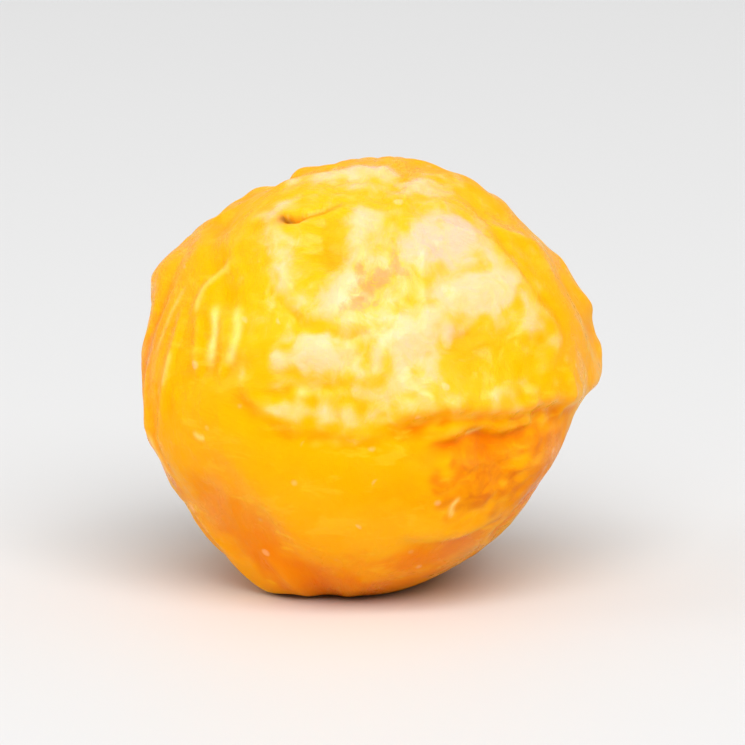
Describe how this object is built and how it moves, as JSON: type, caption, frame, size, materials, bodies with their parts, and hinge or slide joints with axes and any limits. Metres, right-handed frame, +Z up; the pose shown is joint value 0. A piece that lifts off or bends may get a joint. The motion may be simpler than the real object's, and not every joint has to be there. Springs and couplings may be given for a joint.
{
  "type": "dried physalis berry",
  "caption": "Plump husked physalis berry, soft-dried whole, with wrinkled skin, a pale stem end and a sagging flat foot to rest on.",
  "frame": {"origin": "on the resting surface, under the middle of the berry's box", "axes": "+Z up from the resting surface; -Y is the front, where the pale stem end shows; +X to the right seen from the front"},
  "size_m": [0.0186, 0.0184, 0.0173],
  "materials": {
    "berry_skin": "glossy"
  },
  "bodies": {
    "root": {"berry": "berry_skin"}
  },
  "joints": []
}
